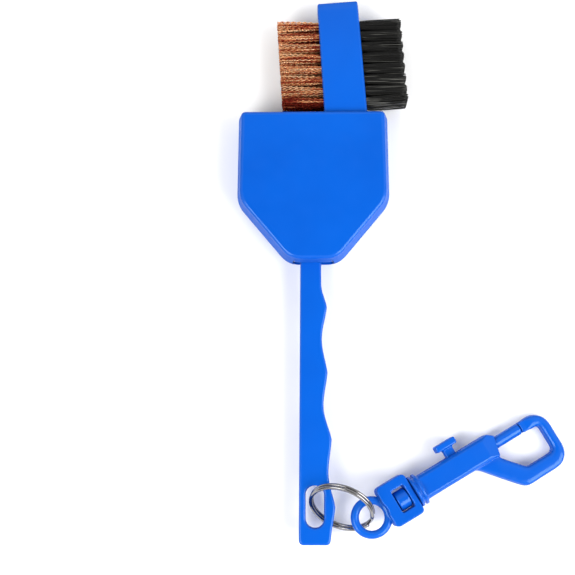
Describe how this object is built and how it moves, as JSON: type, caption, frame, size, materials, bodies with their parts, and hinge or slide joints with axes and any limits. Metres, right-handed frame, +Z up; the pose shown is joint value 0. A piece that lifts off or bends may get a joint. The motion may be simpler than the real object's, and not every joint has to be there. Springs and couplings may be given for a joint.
{
  "type": "club groove brush",
  "caption": "Double-sided cleaning brush for golf club grooves: copper and nylon bristles, sliding bristle cover, finger-grip handle, split ring and swivel snap hook.",
  "frame": {"origin": "near the middle of the cover's flat back face, on its centre line and on the surface the brush lies on", "axes": "+Y along the handle towards the bristle block, +Z up from the surface towards the front of the cover, +X towards the nylon side"},
  "size_m": [0.1057, 0.1784, 0.0189],
  "materials": {
    "blue_plastic": "satin gloss moulded",
    "copper_wire": "crimped copper-coloured wire",
    "black_nylon": "fine straight filament",
    "anchor_steel": "plain",
    "ring_steel": "bright nickel plate",
    "spring_steel": "bright wire"
  },
  "bodies": {
    "brush": {"brush_body": "blue_plastic", "copper_tufts_front": "copper_wire", "copper_tufts_middle": "copper_wire", "copper_tufts_back": "copper_wire", "nylon_tufts_front": "black_nylon", "nylon_tufts_middle": "black_nylon", "nylon_tufts_back": "black_nylon", "copper_anchors_front": "anchor_steel", "copper_anchors_middle": "anchor_steel", "copper_anchors_back": "anchor_steel", "nylon_anchors_front": "anchor_steel", "nylon_anchors_middle": "anchor_steel", "nylon_anchors_back": "anchor_steel"},
    "cover": {"cover_front_shell": "blue_plastic", "cover_back_shell": "blue_plastic"},
    "ring": {"split_ring": "ring_steel"},
    "eye": {"swivel_eye": "blue_plastic"},
    "hook": {"hook_body": "blue_plastic", "bolt_spring": "spring_steel"},
    "bolt": {"trigger_bolt": "blue_plastic"}
  },
  "joints": [
    {"name": "cover_slide", "type": "slide", "parent": "brush", "child": "cover", "axis": [0.2924, 0.9563, 0], "range_m": [0, 0.033], "deforming": ["nylon_tufts_front", "nylon_tufts_middle", "nylon_tufts_back"]},
    {"name": "ring_swing", "type": "hinge", "parent": "brush", "child": "ring", "pos_m": [0.005, -0.102, 0.0085], "axis": [0, 1, 0], "range_deg": [-8, 55]},
    {"name": "eye_pivot", "type": "hinge", "parent": "ring", "child": "eye", "pos_m": [0.01767, -0.10922, 0.00857], "axis": [0.382, 0.5018, 0.776], "range_deg": [-75, 50]},
    {"name": "hook_swivel", "type": "hinge", "parent": "eye", "child": "hook", "pos_m": [0.0184, -0.10797, 0.0086], "axis": [0.8575, 0.5051, -0.0976], "continuous": true},
    {"name": "bolt_slide", "type": "slide", "parent": "hook", "child": "bolt", "axis": [-0.8575, -0.5051, 0.0976], "range_m": [0, 0.008], "stiffness_N_per_m": 200, "springref_m": -0.004, "deforming": ["bolt_spring"]}
  ]
}
